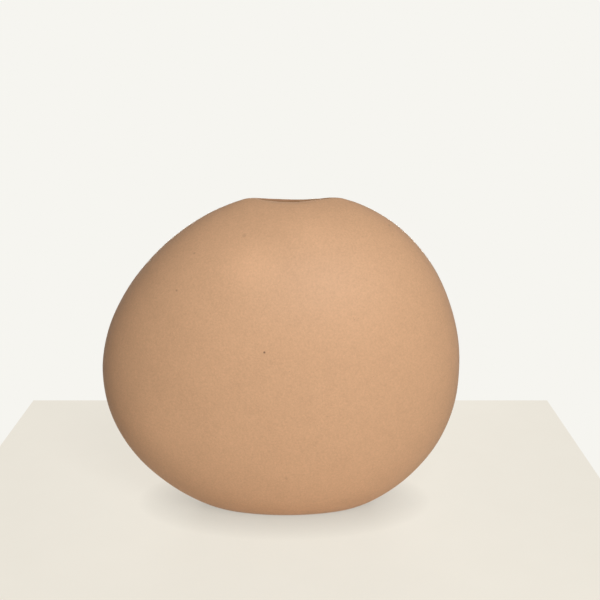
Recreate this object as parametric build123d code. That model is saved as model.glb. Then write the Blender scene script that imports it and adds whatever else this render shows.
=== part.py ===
from build123d import *
import os
from math import asin, sin

# Pillow vase: a hollow, lopsided stoneware pillow that stands on a flattened foot.
# Two clay halves meet on the upright plane Y = 0. A coil of soft clay fills the groove along the inside of each
# side seam, a slab closes the foot, a second coil seals the slab's edge, and glaze lines the inside.
# Millimetres, +Z up, the front faces -Y, +X is to its right. The origin is on the floor under the vase's middle.

# The pillow's outside: reach, heights and foot
WIDTH = 243.7  # across the belly
DEPTH = 116.0  # front to back at the belly
RIM_HEIGHT = 215.4  # to the two tips of the mouth
CROWN_OFFSET = 3.0  # the crown and the foot stand this far right of the middle
CROWN_RISE = 3.5  # crown of the closed outline above the tips, before the mouth is cut
LEFT_BELLY_HEIGHT = 96.3  # where the left side reaches furthest
RIGHT_BELLY_HEIGHT = 100.1
FACE_BELLY_HEIGHT = 106.0  # where the front and the back stand out furthest
FOOT_CUT = 13.8  # the foot is sliced off this far above the closed outline's lowest point
FOOT_DEPTH = 52.0  # front to back across the foot

# Roundness of each quarter of the outlines, at the belly and at the tip: 2 and 2 is a plain ellipse,
# more is squarer, less is leaner
LEFT_SHOULDER = (1.83, 1.73)
RIGHT_SHOULDER = (1.89, 2.37)
LEFT_HIP = (2.15, 1.75)
RIGHT_HIP = (2.20, 1.92)
FACE_SHOULDER = (2.80, 1.45)
FACE_HIP = (2.10, 3.00)

# The mouth: a slot cut by hand, whose rim dips between its tips, unevenly front and back
RIM_DEPTH = 20.0  # front to back over the rim, in the middle
RIM_RUN_OUT = 6.0  # the dip of the rim begins this far past the tips
FRONT_DIP = 2.0  # of the rim below its tips
BACK_DIP = 2.6
FRONT_DIP_SHIFT = -11.0  # where the dip is deepest, from the middle of the mouth
BACK_DIP_SHIFT = 2.0
LIP_WIDTH = 4.5  # clay between the slot and the rim's outer edge, front and back
LIP_END = 5.0  # the same at the tips
LIP_ROUND = 1.2

# Walls, base and lining
WALL = 5.0
CROWN_WALL = 6.0
FOOT_LAND = 9.0  # width of the ring that stands on the floor
BASE_RECESS = 2.0  # from the floor to the slab's underside
BASE_THICKNESS = 6.0
SEAT_FLARE = 4.0  # how much wider the slab's seat is on each side at its top
GLAZE = 0.6

# Grooves of the clay joints
SEAM_GROOVE_DEPTH = 2.4
SEAM_GROOVE_WIDTH = 6.0
BASE_GROOVE_DEPTH = 3.0
BASE_GROOVE_WIDTH = 3.0

# Values that follow
LEFT_REACH = WIDTH / 2 + CROWN_OFFSET
RIGHT_REACH = WIDTH / 2 - CROWN_OFFSET
CROWN_HEIGHT = RIM_HEIGHT + CROWN_RISE
RIM_MIDDLE = RIM_HEIGHT - (FRONT_DIP + BACK_DIP) / 2
BASE_TOP = BASE_RECESS + BASE_THICKNESS
STATIONS = 7  # level sections above the belly, and as many below
TOP_CAP = 0.5  # a loft ends this far under its own peak


def quarter(share, roundness):
    """Half-width of a superellipse quarter: 1 at its belly, where share is 0, and 0 at its tip, where it is 1."""
    at_belly, at_tip = roundness
    return (1 - share**at_belly) ** (1 / at_tip)


def share_at(half_width, roundness):
    """The share of its height at which a superellipse quarter has this half-width."""
    return quarter(half_width, roundness[::-1])


def outline(level, belly, top, bottom, shoulder, hip):
    """The part of its full reach that an outline with this belly, top and bottom has at a level."""
    if level > belly:
        return quarter((level - belly) / (top - belly), shoulder)
    return quarter((belly - level) / (belly - bottom), hip)


# The rim's tips are where the outline comes down to the rim's height, and the mouth lies between them
LEFT_TIP = LEFT_REACH * outline(RIM_HEIGHT, LEFT_BELLY_HEIGHT, CROWN_HEIGHT, -FOOT_CUT, LEFT_SHOULDER, LEFT_HIP)
RIGHT_TIP = RIGHT_REACH * outline(RIM_HEIGHT, RIGHT_BELLY_HEIGHT, CROWN_HEIGHT, -FOOT_CUT, RIGHT_SHOULDER, RIGHT_HIP)
TIP_REACH = (LEFT_TIP + RIGHT_TIP) / 2
MOUTH_MIDDLE = CROWN_OFFSET + (RIGHT_TIP - LEFT_TIP) / 2

# The faces' own peak and bottom follow from the depth over the rim and across the foot
FACE_RISE = (RIM_MIDDLE - FACE_BELLY_HEIGHT) / share_at(RIM_DEPTH / DEPTH, FACE_SHOULDER)
FACE_DROP = FACE_BELLY_HEIGHT / share_at(FOOT_DEPTH / DEPTH, FACE_HIP)
FACE_PEAK = FACE_BELLY_HEIGHT + FACE_RISE
FACE_BOTTOM = FACE_BELLY_HEIGHT - FACE_DROP


def section(level, inset=0, trim=0):
    """Level cross-section of the pillow: an ellipse as long and as deep as the outlines are at that level."""
    crown = CROWN_HEIGHT - inset * CROWN_WALL / WALL
    peak = FACE_PEAK - inset * CROWN_WALL / WALL
    keel = inset - FOOT_CUT
    sole = inset + FACE_BOTTOM
    left = outline(level, LEFT_BELLY_HEIGHT, crown, keel, LEFT_SHOULDER, LEFT_HIP) * (LEFT_REACH - inset)
    right = outline(level, RIGHT_BELLY_HEIGHT, crown, keel, RIGHT_SHOULDER, RIGHT_HIP) * (RIGHT_REACH - inset)
    deep = outline(level, FACE_BELLY_HEIGHT, peak, sole, FACE_SHOULDER, FACE_HIP) * (DEPTH / 2 - inset)
    middle = CROWN_OFFSET + (right - left) / 2
    return Pos(middle, 0, level) * Ellipse((left + right) / 2 - trim, deep - trim)


def pillow(inset, start):
    """The closed pillow this far inside the outer skin, from a level up to just under its own peak."""
    belly = (LEFT_BELLY_HEIGHT + RIGHT_BELLY_HEIGHT + FACE_BELLY_HEIGHT) / 3
    rise = min(CROWN_HEIGHT, FACE_PEAK) - inset * CROWN_WALL / WALL - belly
    drop = belly + min(FOOT_CUT, -FACE_BOTTOM) - inset
    lowest = asin((belly - start) / drop)
    highest = asin(1 - TOP_CAP / rise)
    below = [belly - drop * sin(lowest * step / STATIONS) for step in range(STATIONS, 0, -1)]
    above = [belly + rise * sin(highest * step / STATIONS) for step in range(STATIONS + 1)]
    return loft([section(level, inset) for level in below + above])


def layer(low, high):
    """Everything between two levels, past the clay on all sides."""
    return Pos(0, 0, low) * Box(2 * WIDTH, 2 * DEPTH, high - low, align=(Align.CENTER, Align.CENTER, Align.MIN))


def rim_profile(side, dip, dip_shift):
    """Upright face above the rim, on one side of the mouth: its lower edge is level, then dips in one curve."""
    reach = TIP_REACH + RIM_RUN_OUT
    left = (MOUTH_MIDDLE - reach, RIM_HEIGHT)
    right = (MOUTH_MIDDLE + reach, RIM_HEIGHT)
    low = RIM_HEIGHT - dip * 4 / 3
    pull_left = (MOUTH_MIDDLE + dip_shift * 4 / 3 - reach / 3, low)
    pull_right = (MOUTH_MIDDLE + dip_shift * 4 / 3 + reach / 3, low)
    top = CROWN_HEIGHT + RIM_DEPTH
    edge = Bezier(left, pull_left, pull_right, right)
    frame = Polyline(right, (WIDTH, RIM_HEIGHT), (WIDTH, top), (-WIDTH, top), (-WIDTH, RIM_HEIGHT), left)
    upright = Plane((0, side, 0), x_dir=(1, 0, 0), z_dir=(0, -1, 0))
    return upright * make_face([edge, frame])


os.makedirs("parts", exist_ok=True)

# Solids that several pieces share, so that the pieces meet face to face
outside = pillow(0, 0)
hollow = pillow(WALL, BASE_TOP)
grooved = pillow(WALL - SEAM_GROOVE_DEPTH, BASE_TOP)
glazed = pillow(WALL + GLAZE, BASE_TOP + GLAZE)
front_profile = rim_profile(-0.6 * RIM_DEPTH, FRONT_DIP, FRONT_DIP_SHIFT)
back_profile = rim_profile(0.6 * RIM_DEPTH, BACK_DIP, BACK_DIP_SHIFT)
above_rim = loft([front_profile, back_profile], ruled=True)
slot = Ellipse(TIP_REACH - LIP_END, RIM_DEPTH / 2 - LIP_WIDTH)
throat = Pos(MOUTH_MIDDLE, 0, RIM_HEIGHT / 2) * extrude(slot, RIM_HEIGHT)
foot_hole = section(0, trim=FOOT_LAND)
base_seat = loft([foot_hole, Pos(0, 0, BASE_TOP) * section(0, trim=FOOT_LAND - SEAT_FLARE)])

# Seam coils: soft clay in the groove along the inside of each side seam, flush with the wall
seam_coils = (grooved & Box(2 * WIDTH, SEAM_GROOVE_WIDTH, 4 * RIM_HEIGHT)) - hollow - throat

# The two halves: one shell with the mouth cut and its lip rounded, parted on the seam
shell = outside - hollow - base_seat - above_rim - throat
rim = shell.faces().sort_by(Axis.Z)[-1]
shell = fillet(rim.edges(), LIP_ROUND) - seam_coils
front_half = split(shell, bisect_by=Plane.XZ, keep=Keep.TOP)
back_half = split(shell, bisect_by=Plane.XZ, keep=Keep.BOTTOM)

# Base slab: a plug on its flared seat, with a rebate for the coil around its upper edge
rebate = section(0, trim=FOOT_LAND - SEAT_FLARE + BASE_GROOVE_WIDTH)
base_coil = base_seat & layer(BASE_TOP - BASE_GROOVE_DEPTH, BASE_TOP)
base_coil = base_coil - Pos(0, 0, BASE_RECESS) * extrude(rebate, BASE_THICKNESS)
base_slab = (base_seat & layer(BASE_RECESS, BASE_TOP)) - base_coil

# Glaze lining: a thin coat over the walls, the slab and the coils, as far as the throat
glaze_lining = hollow - glazed - throat

pieces = {
    "front_half": front_half,
    "back_half": back_half,
    "seam_coils": seam_coils,
    "base_slab": base_slab,
    "base_coil": base_coil,
    "glaze_lining": glaze_lining,
}
for name, piece in pieces.items():
    export_step(piece, f"parts/{name}.step")
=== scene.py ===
import bpy
import numpy as np
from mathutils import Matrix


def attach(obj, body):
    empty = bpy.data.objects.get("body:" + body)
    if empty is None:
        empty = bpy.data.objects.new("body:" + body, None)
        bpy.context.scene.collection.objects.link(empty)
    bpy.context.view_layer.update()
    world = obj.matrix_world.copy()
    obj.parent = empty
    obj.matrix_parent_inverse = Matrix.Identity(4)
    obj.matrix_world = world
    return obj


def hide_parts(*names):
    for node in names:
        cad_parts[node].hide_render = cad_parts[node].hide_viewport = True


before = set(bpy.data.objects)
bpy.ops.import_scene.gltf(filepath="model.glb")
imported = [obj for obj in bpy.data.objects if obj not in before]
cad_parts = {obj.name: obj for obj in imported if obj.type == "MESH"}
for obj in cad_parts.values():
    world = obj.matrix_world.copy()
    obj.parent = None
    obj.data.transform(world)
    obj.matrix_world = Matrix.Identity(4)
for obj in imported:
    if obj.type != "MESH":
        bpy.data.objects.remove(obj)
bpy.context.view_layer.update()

# ---------------------------------------------------------------------------------------------------------------
# Front and back halves: two shells of tan grogged stoneware, moulded apart and luted on the upright seam, then
# fettled and sponged until the seam is gone. The mouth is a slot cut through the crown by hand, so its rim dips
# unevenly between two tips, and a wet finger has rounded the lip. The outside is left unglazed.

MM = 0.001  # sizes of the clay are in millimetres, and Blender's are in metres

HALF_WIDTH, HALF_DEPTH = 121.85, 58.0
CROWN_OFFSET = 3.0  # the crown and the foot stand this far right of the middle
CROWN_HEIGHT, TIP_HEIGHT = 218.9, 214.95  # of the closed outline, and of the rim's two tips
FACE_PEAK, FACE_BOTTOM = 216.26, -4.87  # where the face would close over the mouth and under the foot
FOOT_CUT = 13.8  # the foot is sliced off this far above the closed outline's lowest point
# Outlines: the belly's height, then the roundness of the shoulder and of the hip, each at the belly and at the tip
LEFT_SIDE = 96.3, (1.83, 1.73), (2.15, 1.75)
RIGHT_SIDE = 100.1, (1.89, 2.37), (2.20, 1.92)
FACE = 106.0, (2.80, 1.45), (2.10, 3.00)

WALL, CROWN_WALL = 5.0, 6.0
FOOT_LAND, SEAT_LAND, FLOOR_TOP = 9.0, 5.0, 8.0
FOOT_ROUND = 0.9

MOUTH_MIDDLE = 9.2
SLOT_REACH, SLOT_DEPTH = 23.6, 5.4  # half the slot's length and half its width
FRONT_DIP, BACK_DIP = 1.8, 2.5
FRONT_RUN, BACK_RUN = (5.2, 22.0, 22.5), (13.0, 33.0, 22.0)  # a dip's deepest place, and its reach left and right
LIP_LINE = 6.5  # the front dip is whole this far in front of the seam, and the back dip this far behind it
TIP_SLOPE = 0.004  # the line between the tips climbs a little to the right
OUTER_ROUND, INNER_ROUND = 3.2, 0.8


def quarter(share, at_belly, at_tip):
    """Half-width of a superellipse quarter: one less the share to the power at_belly, all to the power of one over
    at_tip. It is 1 at the belly, where the share is 0, and 0 at the tip, where the share is 1."""
    return (1 - np.clip(share, 0, 1) ** at_belly) ** (1 / at_tip)


def outline(level, side, top, bottom):
    """Share of its full reach that an outline has at a level: one superellipse quarter from the belly up to the
    top, and another from the belly down to the bottom."""
    belly, shoulder, hip = side
    above = quarter((level - belly) / (top - belly), *shoulder)
    below = quarter((belly - level) / (belly - bottom), *hip)
    return np.where(level > belly, above, below)


def pillow(level, turn, inset=0.0, trim=0.0, least=(0.0, 0.0, 0.0)):
    """Point of the pillow at a level and a turn round it. Each level is an ellipse between the left and the right
    outline, as deep as the face outline. The inset draws the whole skin in by a wall, the trim narrows one level,
    and least is the smallest left, right and deep reach, which is that of the mouth."""
    crown, peak = CROWN_HEIGHT - inset * CROWN_WALL / WALL, FACE_PEAK - inset * CROWN_WALL / WALL
    keel, sole = inset - FOOT_CUT, inset + FACE_BOTTOM
    left = outline(level, LEFT_SIDE, crown, keel) * (HALF_WIDTH + CROWN_OFFSET - inset)
    right = outline(level, RIGHT_SIDE, crown, keel) * (HALF_WIDTH - CROWN_OFFSET - inset)
    deep = outline(level, FACE, peak, sole) * (HALF_DEPTH - inset)
    left, right, deep = (np.maximum(reach, low) for reach, low in zip((left, right, deep), least))
    x = CROWN_OFFSET + (right - left) / 2 + ((left + right) / 2 - trim) * np.cos(turn)
    y = (deep - trim) * np.sin(turn)
    return np.stack(np.broadcast_arrays(x, y, level), -1)


def dip(x, deepest, left_reach, right_reach):
    """How far one edge of the rim hangs at a place along the mouth, as a share of its full dip: a parabola to the
    power of 1.1, which is 1 at its deepest place and 0 a reach away on either side."""
    away = (x - deepest) / np.where(x < deepest, left_reach, right_reach)
    return np.clip(1 - away**2, 0, 1) ** 1.1


def rim_height(x, y):
    """Height of the rim over a point of the plan: the line between the tips, less the front edge's dip on the front
    and the back edge's on the back, with a straight line across between them and the small waver of a hand-held
    knife."""
    across = np.clip((y + LIP_LINE) / (2 * LIP_LINE), 0, 1)
    hang = (1 - across) * FRONT_DIP * dip(x, *FRONT_RUN) + across * BACK_DIP * dip(x, *BACK_RUN)
    waver = 0.06 * np.sin(0.33 * x + 0.9) + 0.04 * np.sin(0.71 * x + 0.4 * y)
    return TIP_HEIGHT + TIP_SLOPE * (x - MOUTH_MIDDLE) - hang + waver


def between(start, end, steps):
    """Rings on straight lines from one ring to another, without the last."""
    share = np.linspace(0, 1, steps, endpoint=False)[:, None, None]
    return (1 - share) * start + share * end


def rounded(before, corner, after, reach, steps):
    """Rings over a rounded corner: a quadratic Bezier curve from the line before the corner to the line after it,
    which it meets at this reach from the corner, or at nine tenths of a shorter line."""
    def start(point):
        length = np.linalg.norm(point - corner, axis=-1, keepdims=True)
        return corner + (point - corner) * np.minimum(reach / length, 0.9)

    along = np.linspace(0, 1, steps)[:, None, None]
    return (1 - along) ** 2 * start(before) + 2 * along * (1 - along) * corner + along**2 * start(after)


def vase_rings():
    """The whole shell as closed rings of 400 points: out over the foot's land, up the skin to the rim, over the
    lip, down the throat and the inner wall, and along the floor and the slab's seat back to the foot. Rows go along
    that loop and columns go once round the vase. With them go two shares at each point: a paler one for wear on the
    foot's edge and for wear and a painted highlight over the lip, and a darker one for painted shade, which fills the
    throat and runs out over the back of the lip."""
    turn = np.linspace(0, 2 * np.pi, 400, endpoint=False)[None, :]

    # The rim's edge: the level where the skin meets the cut, found by stepping towards it
    rim = np.full_like(turn, TIP_HEIGHT - 2)
    for _ in range(80):
        edge = pillow(rim, turn)
        rim = rim + 0.3 * (rim_height(edge[..., 0], edge[..., 1]) - rim)

    # The foot's land and edge, then the skin, from 2.2 mm over the floor to 2.6 mm under the rim, whose rows stand
    # closer near both
    land = pillow(0.0, turn, trim=np.linspace(FOOT_LAND, 1.2, 9)[:, None])
    foot_edge = rounded(land[-1:], pillow(0.0, turn), pillow(2.0, turn), FOOT_ROUND, steps=8)
    share = np.linspace(0, 1, 190)[:, None]
    share = 0.6 * share + 0.2 * (1 - np.cos(np.pi * share))
    skin = pillow(2.2 + share * (rim - 4.8), turn)

    # The lip: rounded over the rim's edge, level across, and rounded again into the slot
    slot = np.stack(np.broadcast_arrays(MOUTH_MIDDLE + SLOT_REACH * np.cos(turn), SLOT_DEPTH * np.sin(turn)), -1)
    slot = np.concatenate([slot, rim_height(slot[..., 0], slot[..., 1])[..., None]], -1)
    outer_lip = rounded(pillow(rim - 2.4, turn), edge, slot, OUTER_ROUND, steps=14)
    inner_lip = rounded(edge, slot, slot - (0, 0, 3.0), INNER_ROUND, steps=8)
    lip = np.concatenate([outer_lip, between(outer_lip[-1:], inner_lip[:1], 5)[1:], inner_lip])

    # The throat keeps the slot's shape until the inner wall is wider, and goes on as that wall down to the floor. Its
    # rows stand closer in the first 12 mm
    mouth = (SLOT_REACH - MOUTH_MIDDLE + CROWN_OFFSET, SLOT_REACH + MOUTH_MIDDLE - CROWN_OFFSET, SLOT_DEPTH)
    full_drop = 207
    down = np.concatenate([np.linspace(1.1, 12, 30), np.linspace(12, full_drop, 90)[1:]])[:, None]
    inside_levels = slot[..., 2] - down * (slot[..., 2] - FLOOR_TOP) / full_drop
    inside = pillow(inside_levels, turn, inset=WALL, least=mouth)

    seat_top = pillow(0.0, turn, trim=SEAT_LAND) + (0, 0, FLOOR_TOP)
    floor = between(inside[-1:], seat_top, 4)[1:]
    seat = between(seat_top, land[:1], 5)
    rings = np.concatenate([land, foot_edge, skin, lip, inside, floor, seat])

    # Hand work: slow swells of up to a quarter of a millimetre along the normals of the skin, which fade out over the
    # ten rows next to the foot's edge and the lip
    row = np.arange(len(rings))
    skin_start = len(land) + len(foot_edge)
    lip_start, throat_start = skin_start + len(skin), skin_start + len(skin) + len(lip)
    x, y, z = np.moveaxis(rings, -1, 0)
    swell = 0.16 * np.sin(0.041 * x + 0.030 * z + 0.6) * np.cos(0.052 * y - 0.023 * z + 1.1)
    swell += 0.05 * np.sin(0.13 * x - 0.11 * z + 0.07 * y) + 0.04 * np.sin(0.09 * x + 0.17 * z - 0.12 * y + 2.0)
    on_skin = np.clip(np.minimum(row - skin_start, lip_start - row) / 10, 0, 1)[:, None]
    rings = rings + (on_skin * swell)[..., None] * ring_normals(rings)

    # Wear on the foot's edge, wear and a painted highlight over the lip, and painted shade from just inside the lip,
    # five rows further at the back
    wear_and_highlight = 0.5 * np.exp(-(((row - len(land) - 4) / 4.0) ** 2))
    wear_and_highlight += np.clip((row - lip_start - 5) / 8, 0, 1) * np.clip((throat_start - 4 - row) / 4, 0, 1)
    over_back = 5 * np.clip(y[lip_start] / 3, 0, 1)
    throat_shade = np.clip((row[:, None] - throat_start + 7 + over_back) / 3, 0, 1)
    throat_shade = throat_shade * (row < throat_start + len(inside))[:, None]
    return rings, np.broadcast_to(wear_and_highlight[:, None], throat_shade.shape), throat_shade


def ring_normals(rings):
    """Outward unit normals: the cross product of the differences along the columns and along the rows."""
    around = np.roll(rings, -1, 1) - np.roll(rings, 1, 1)
    along = np.roll(rings, -1, 0) - np.roll(rings, 1, 0)
    normal = np.cross(around, along)
    return normal / np.maximum(np.linalg.norm(normal, axis=-1, keepdims=True), 1e-9)


def half_shell(name, rings, normals, shares):
    """One half as a mesh: a quad between each two rows and columns, the rows closed to a loop, and one flat face on
    the seam at each end. The normals are those of the whole vase, so the skin runs on over the seam."""
    rows, columns = rings.shape[:2]
    rings = rings.copy()
    rings[:, (0, -1), 1] = 0
    corner = np.arange(rows * columns).reshape(rows, columns)
    above = np.roll(corner, -1, 0)
    quads = np.stack([corner[:, :-1], corner[:, 1:], above[:, 1:], above[:, :-1]], -1).reshape(-1, 4)
    mesh = bpy.data.meshes.new(name)
    faces = quads.tolist() + [corner[:, 0].tolist(), corner[::-1, -1].tolist()]
    mesh.from_pydata((rings.reshape(-1, 3) * MM).tolist(), [], faces)
    mesh.polygons.foreach_set("use_smooth", np.ones(len(faces), bool))
    away = -np.sign(rings[0, columns // 2, 1])
    seam_face = np.tile([0.0, away, 0.0], (2 * rows, 1))
    mesh.normals_split_custom_set(np.concatenate([normals.reshape(-1, 3)[quads.ravel()], seam_face]).tolist())
    for share, at_points in shares.items():
        attribute = mesh.attributes.new(share, "FLOAT", "POINT")
        attribute.data.foreach_set("value", at_points.ravel().astype(np.float32))
    piece = bpy.data.objects.new(name, mesh)
    bpy.context.scene.collection.objects.link(piece)
    return piece


def node(tree, kind, inputs, **settings):
    """One shader node: its settings, and its sockets by name or number, each with a value or another's output."""
    made = tree.nodes.new("ShaderNode" + kind)
    for setting, value in settings.items():
        setattr(made, setting, value)
    for socket, value in inputs.items():
        if isinstance(value, bpy.types.NodeSocket):
            tree.links.new(value, made.inputs[socket])
        else:
            made.inputs[socket].default_value = value
    return made


def empty_material(name):
    """A material with its shader, and the piece's own place in metres to draw its patterns on."""
    material = bpy.data.materials.new(name)
    material.use_nodes = True
    tree = material.node_tree
    return material, tree, tree.nodes["Principled BSDF"], node(tree, "TexCoord", {}).outputs["Object"]


def spread(tree, value, low, high):
    """A pattern's middle part, 0.3 to 0.7, drawn out to run from low to high."""
    ranged = node(tree, "MapRange", {"Value": value, "From Min": 0.3, "From Max": 0.7, "To Min": low, "To Max": high})
    return ranged.outputs["Result"]


def blend(tree, share, first, second):
    """A colour between two colours. The colour sockets of a Mix node are inputs 6 and 7 and output 2."""
    return node(tree, "Mix", {0: share, 6: first, 7: second}, data_type="RGBA").outputs[2]


def sum_of(tree, *values):
    """The sum of several patterns."""
    total = values[0]
    for value in values[1:]:
        total = node(tree, "Math", {0: total, 1: value}, operation="ADD").outputs[0]
    return total


# Unglazed clay: slow clouds from the firing, a mottle the size of the sponge's pores, a fine sandy grain, pinholes of
# burnt-out iron, paler worn edges with a painted highlight over the lip, and painted shade in the throat
CLAY_PALE, CLAY_DEEP = (0.782, 0.463, 0.270, 1), (0.522, 0.307, 0.176, 1)
# The paler of these is for wear, and over the lip for a painted highlight too; the darker is painted shade in the
# throat
CLAY_WEAR_AND_HIGHLIGHT, CLAY_PAINTED_SHADE = (0.860, 0.560, 0.340, 1), (0.350, 0.172, 0.080, 1)
IRON = (0.140, 0.075, 0.042, 1)
# Paler patches, then iron spots, on the front and then on the back: place and radius in millimetres, and strength.
# The four patches on the front are painted highlight where the face is lit brighter; the two on the back are pale
# blooms of the firing
PAINTED_HIGHLIGHTS_AND_BLOOMS = [
    (-18, -43, 179, 27, 0.28), (21, -30, 198, 22, 0.14), (-78, -42, 69, 34, 0.20), (-28, -55, 70, 30, 0.08),
    (40, 44, 172, 28, 0.22), (-50, 52, 84, 34, 0.16),
]
IRON_SPOTS = [
    (-9.2, -57.4, 126.9, 0.75, 0.85), (-54.2, -28.6, 183.8, 0.9, 0.28), (-65.2, -37.8, 161.8, 0.8, 0.30),
    (-22.2, -29.7, 195.6, 1.5, 0.16), (71.2, -9.6, 198.4, 1.0, 0.26), (4.2, -50.1, 38.4, 1.1, 0.18),
    (38.0, 54.0, 118.0, 0.7, 0.60), (-61.0, 43.0, 76.0, 0.8, 0.35), (10.0, 49.0, 168.0, 1.0, 0.25),
]


def round_mark(tree, place, middle, inner, outer, strength):
    """A soft round mark: its full strength out to the inner radius, in millimetres, and none past the outer."""
    apart = node(tree, "VectorMath", {0: place, 1: [at * MM for at in middle]}, operation="DISTANCE")
    limits = {"From Min": inner * MM, "From Max": outer * MM, "To Min": strength, "To Max": 0.0}
    mark = node(tree, "MapRange", {"Value": apart.outputs["Value"], **limits}, interpolation_type="SMOOTHSTEP")
    return mark.outputs["Result"]


def clay(name, highlights_and_blooms=PAINTED_HIGHLIGHTS_AND_BLOOMS, spots=IRON_SPOTS):
    """Stoneware as fired: a blend of two clays by noise at three sizes and by the pale patches, painted highlight
    on the front and blooms on the back, then paler along the worn edges and the lip's painted highlight, darker with
    painted shade in the throat and at the pinholes and iron spots, with the grain and the pinholes as bumps."""
    material, tree, shader, place = empty_material(name)
    cloud = node(tree, "TexNoise", {"Vector": place, "Scale": 16.0, "Detail": 3.0, "Roughness": 0.5}).outputs[0]
    mottle = node(tree, "TexNoise", {"Vector": place, "Scale": 150.0, "Detail": 2.0, "Roughness": 0.5}).outputs[0]
    sand = node(tree, "TexNoise", {"Vector": place, "Scale": 800.0, "Detail": 3.0, "Roughness": 0.7}).outputs[0]
    fleck = node(tree, "TexVoronoi", {"Vector": place, "Scale": 150.0, "Randomness": 1.0})
    tone = sum_of(tree, spread(tree, cloud, 0.43, 0.53), spread(tree, mottle, -0.04, 0.04),
                  spread(tree, sand, -0.20, 0.22))
    # Pale patches: painted highlight on the front, blooms of the firing on the back
    for x, y, z, radius, strength in highlights_and_blooms:
        tone = sum_of(tree, tone, round_mark(tree, place, (x, y, z), 0.0, radius, strength))
    colour = blend(tree, tone, CLAY_DEEP, CLAY_PALE)
    # Paler for wear on the foot's edge, and over the lip for wear and a painted highlight
    wear_and_highlight = node(tree, "Attribute", {}, attribute_name="wear_and_lip_highlight").outputs["Fac"]
    wear_and_highlight = node(tree, "Math", {0: wear_and_highlight, 1: spread(tree, sand, 0.25, 0.75)}, operation="MULTIPLY").outputs[0]
    colour = blend(tree, wear_and_highlight, colour, CLAY_WEAR_AND_HIGHLIGHT)
    # Darker with painted shade in the throat and over the back of the lip
    throat_shade = node(tree, "Attribute", {}, attribute_name="throat_painted_shade").outputs["Fac"]
    throat_shade = node(tree, "Math", {0: throat_shade, 1: spread(tree, mottle, 0.85, 1.0)}, operation="MULTIPLY").outputs[0]
    colour = blend(tree, throat_shade, colour, CLAY_PAINTED_SHADE)
    dot = node(tree, "MapRange", {"Value": fleck.outputs["Distance"], "From Min": 0.015, "From Max": 0.045,
                                  "To Min": 0.45, "To Max": 0.0}).outputs["Result"]
    colour = blend(tree, dot, colour, IRON)
    for x, y, z, radius, strength in spots:
        mark = round_mark(tree, place, (x, y, z), 0.35 * radius, 1.3 * radius, strength)
        colour = blend(tree, mark, colour, IRON)
    tree.links.new(colour, shader.inputs["Base Color"])
    tree.links.new(spread(tree, sand, 0.52, 0.60), shader.inputs["Roughness"])
    shader.inputs["Specular IOR Level"].default_value = 0.25
    grit = sum_of(tree, sand, node(tree, "Math", {0: dot, 1: -0.8}, operation="MULTIPLY").outputs[0])
    bump = node(tree, "Bump", {"Height": grit, "Strength": 0.5, "Distance": 0.00025})
    tree.links.new(bump.outputs[0], shader.inputs["Normal"])
    return material


rings, wear_and_highlight, throat_shade = vase_rings()
normals = ring_normals(rings)
half = rings.shape[1] // 2
stoneware = clay("unglazed_tan_stoneware")
back_columns, front_columns = np.arange(half + 1), np.arange(half, 2 * half + 1) % (2 * half)
for node_name, columns in (("front_half", front_columns), ("back_half", back_columns)):
    shares = {"wear_and_lip_highlight": wear_and_highlight[:, columns], "throat_painted_shade": throat_shade[:, columns]}
    shell = half_shell(node_name + "_shell", rings[:, columns], normals[:, columns], shares)
    shell.data.materials.append(stoneware)
    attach(shell, "root")
    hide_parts(node_name)

# ---------------------------------------------------------------------------------------------------------------
# Base slab and the clay of the joints: a slab let into the foot from inside, a coil that seals its edge, and a coil
# along each side seam. They are the same clay, wiped over with a sponge and out of the flame's reach, so they have no
# blooms, no painted highlights and no iron spots.

wiped_clay = clay("wiped_clay", [], [])
for name in ("base_slab", "base_coil", "seam_coils"):
    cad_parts[name].data.materials.clear()
    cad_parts[name].data.materials.append(wiped_clay)

# ---------------------------------------------------------------------------------------------------------------
# Glaze lining: a thin clear honey glaze, poured in, swilled round and poured out, so that the inside holds water.
# It is glossy, darker where it pooled over the slab, and it stops under the throat.

GLAZE_THIN, GLAZE_POOLED = (0.402, 0.214, 0.107, 1), (0.165, 0.072, 0.030, 1)


def honey_glaze():
    """Glaze over clay: a brown that deepens towards the floor, with slow runs, under a smooth gloss."""
    material, tree, shader, place = empty_material("clear_honey_glaze")
    height = node(tree, "SeparateXYZ", {"Vector": place}).outputs["Z"]
    depths = {"From Min": FLOOR_TOP * MM, "From Max": 0.09, "To Min": 0.9, "To Max": 0.2}
    pooled = node(tree, "MapRange", {"Value": height, **depths})
    run = node(tree, "TexNoise", {"Vector": place, "Scale": 45.0, "Detail": 2.0}).outputs[0]
    tone = sum_of(tree, pooled.outputs["Result"], spread(tree, run, -0.12, 0.12))
    colour = blend(tree, tone, GLAZE_THIN, GLAZE_POOLED)
    tree.links.new(colour, shader.inputs["Base Color"])
    tree.links.new(spread(tree, run, 0.12, 0.24), shader.inputs["Roughness"])
    bump = node(tree, "Bump", {"Height": run, "Strength": 0.2, "Distance": 0.0006})
    tree.links.new(bump.outputs[0], shader.inputs["Normal"])
    return material


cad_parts["glaze_lining"].data.materials.clear()
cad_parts["glaze_lining"].data.materials.append(honey_glaze())

# ---------------------------------------------------------------------------------------------------------------
# Floor: a plain pale board with a matt coat and a straight back edge, in front of a plain pale room. It carries the
# vase's shadow, and it is not part of the vase.

FLOOR_FRONT_LEFT, FLOOR_BACK_RIGHT = (-0.2272, -0.75), (0.2357, 0.199)
FLOOR_SHOWN = (0.930, 0.888, 0.790, 1), (0.950, 0.908, 0.812, 1)  # as seen, darker and paler
FLOOR_LIT = (0.700, 0.650, 0.570, 1), (0.730, 0.680, 0.600, 1)  # as it takes and throws back the light
SHOWN_SHARE = 0.75  # of the first colours in what is seen
CONTACT_REACH, CONTACT_SHADE = 0.026, 0.64  # how far the dark under the vase spreads, and how bright it still is


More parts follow.
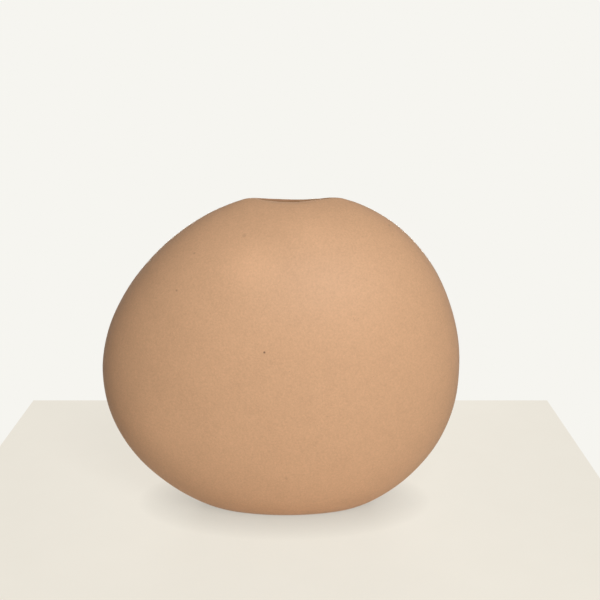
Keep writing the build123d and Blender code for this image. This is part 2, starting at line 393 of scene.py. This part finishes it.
def flat_top(low, high):
    """A flat grid of nine points by nine between two corners at the floor's height."""
    across, along = np.meshgrid(np.linspace(low[0], high[0], 9), np.linspace(low[1], high[1], 9), indexing="ij")
    corner = np.arange(9 * 9).reshape(9, 9)
    quads = np.stack([corner[:-1, :-1], corner[1:, :-1], corner[1:, 1:], corner[:-1, 1:]], -1).reshape(-1, 4)
    mesh = bpy.data.meshes.new("pale_floor")
    mesh.from_pydata(np.stack([across, along, 0 * across], -1).reshape(-1, 3).tolist(), [], quads.tolist())
    return mesh


def shows_backdrop(tree):
    """1 for a ray from the camera, off a gloss or through glass, which all show the plain backdrop, and 0 for the
    light that falls on the vase."""
    path = node(tree, "LightPath", {}).outputs
    seen = node(tree, "Math", {0: path["Is Camera Ray"], 1: path["Is Glossy Ray"]}, operation="MAXIMUM").outputs[0]
    return node(tree, "Math", {0: seen, 1: path["Is Transmission Ray"]}, operation="MAXIMUM").outputs[0]


floor = bpy.data.objects.new("pale_floor", flat_top(FLOOR_FRONT_LEFT, FLOOR_BACK_RIGHT))
bpy.context.scene.collection.objects.link(floor)
pale, tree, shader, place = empty_material("pale_floor")
grain = node(tree, "TexNoise", {"Vector": place, "Scale": 30.0, "Detail": 4.0}).outputs[0]
shown_colour = blend(tree, spread(tree, grain, 0.3, 0.7), *FLOOR_SHOWN)
lit_colour = blend(tree, spread(tree, grain, 0.3, 0.7), *FLOOR_LIT)
tree.links.new(lit_colour, shader.inputs["Base Color"])
shader.inputs["Roughness"].default_value = 0.7
# Where it is seen, the floor is mostly its own pale colour, less close under the vase, and the rest keeps the shadow
open_above = node(tree, "AmbientOcclusion", {"Distance": CONTACT_REACH}, samples=16).outputs["AO"]
shade = node(tree, "MapRange", {"Value": open_above, "To Min": CONTACT_SHADE, "To Max": 1.0}).outputs["Result"]
bright = node(tree, "Emission", {"Color": shown_colour, "Strength": shade})
share = node(tree, "Math", {0: shows_backdrop(tree), 1: SHOWN_SHARE}, operation="MULTIPLY").outputs[0]
shown = node(tree, "MixShader", {0: share, 1: shader.outputs[0], 2: bright.outputs[0]})
tree.links.new(shown.outputs[0], tree.nodes["Material Output"].inputs["Surface"])
floor.data.materials.append(pale)

# ---------------------------------------------------------------------------------------------------------------
# Light and camera: a large soft lamp in front, above and to the right, a low one behind that fills the back, and an
# even warm room all round. Where it is seen, the room is the pale colour of its wall.

WALL_COLOUR = (0.922, 0.913, 0.871, 1)
ROOM_LIGHT, ROOM_STRENGTH = (1.0, 0.74, 0.50, 1), 0.10
CAMERA_DOWN = 14.6815  # degrees below level

room = bpy.data.worlds.new("pale_room")
bpy.context.scene.world = room
room.use_nodes = True
tree = room.node_tree
tree.nodes.clear()
light = node(tree, "Background", {"Color": ROOM_LIGHT, "Strength": ROOM_STRENGTH})
wall = node(tree, "Background", {"Color": WALL_COLOUR, "Strength": 1.0})
mixed = node(tree, "MixShader", {0: shows_backdrop(tree), 1: light.outputs[0], 2: wall.outputs[0]})
node(tree, "OutputWorld", {"Surface": mixed.outputs[0]})


def soft_lamp(name, place, size, tilt, turn, watts, colour=(1.0, 1.0, 1.0)):
    """An oval soft lamp of a width and a height in metres, tilted up from straight down and turned about the upright
    axis, in degrees. The camera doesn't see it."""
    lamp = bpy.data.lights.new(name, "AREA")
    lamp.shape, lamp.energy, lamp.color = "ELLIPSE", watts, colour
    lamp.size, lamp.size_y = size
    stand = bpy.data.objects.new(name, lamp)
    stand.location = place
    stand.rotation_euler = (np.radians(tilt), 0, np.radians(turn))
    stand.visible_camera = False
    bpy.context.scene.collection.objects.link(stand)


soft_lamp("front_lamp", (0.271, -0.913, 0.660), (0.45, 0.90), 60, 16.5, 10.8, (0.955, 0.985, 1.0))
soft_lamp("back_lamp", (0.000, 0.900, 0.115), (0.70, 0.14), 90, 180, 7)

camera = bpy.data.objects.new("camera", bpy.data.cameras.new("camera"))
camera.data.lens = 60.39
camera.data.sensor_width = 36.0
camera.location = (0.01302, -0.6557, 0.31744)
camera.rotation_euler = (np.radians(90 - CAMERA_DOWN), 0, 0)
bpy.context.scene.collection.objects.link(camera)
bpy.context.scene.camera = camera
bpy.context.scene.view_settings.view_transform = "Standard"
